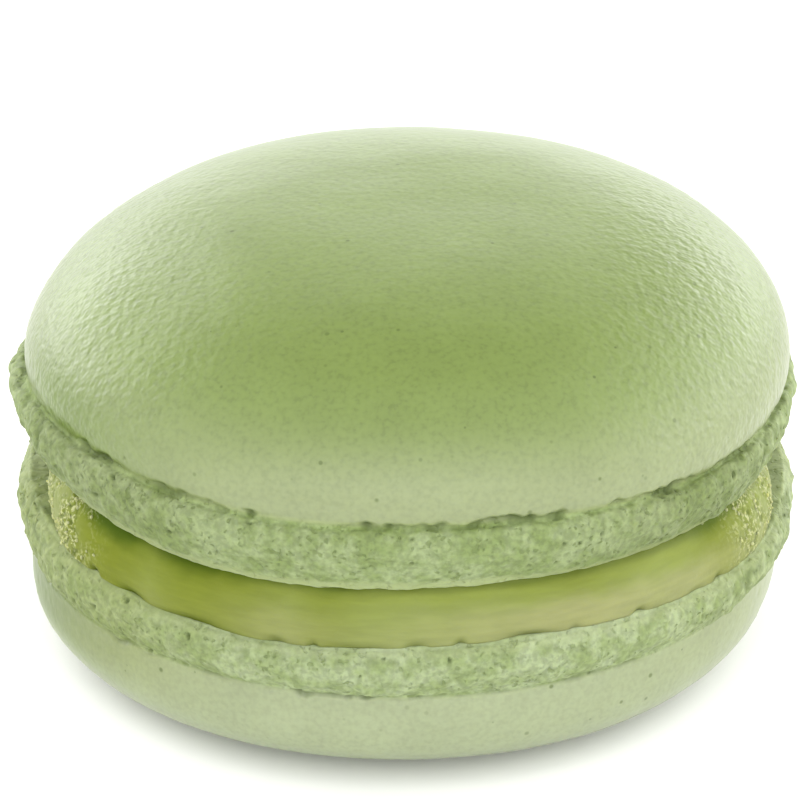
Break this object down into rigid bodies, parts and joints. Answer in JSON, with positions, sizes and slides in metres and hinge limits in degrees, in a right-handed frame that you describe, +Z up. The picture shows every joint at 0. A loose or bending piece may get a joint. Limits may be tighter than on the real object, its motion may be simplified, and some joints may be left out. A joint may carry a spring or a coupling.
{
  "type": "french macaron",
  "caption": "Round macaron: a smooth domed almond shell and its turned-over twin, each with a porous ruffled foot, joined by a disc of soft filling.",
  "frame": {"origin": "middle of the underside of the whole macaron's box, on the surface that it stands on", "axes": "+Z up through the middle of both shells, +X and +Y across the macaron"},
  "size_m": [0.045, 0.045, 0.0261],
  "materials": {
    "upper_shell": "baked almond shell, pale green, satin skin over a porous matt foot",
    "filling": "soft yellow-green filling, smooth and slightly moist",
    "lower_shell": "baked almond shell, pale green, satin skin over a porous matt foot"
  },
  "bodies": {
    "root": {"upper_shell": "upper_shell", "filling": "filling", "lower_shell": "lower_shell"}
  },
  "joints": []
}
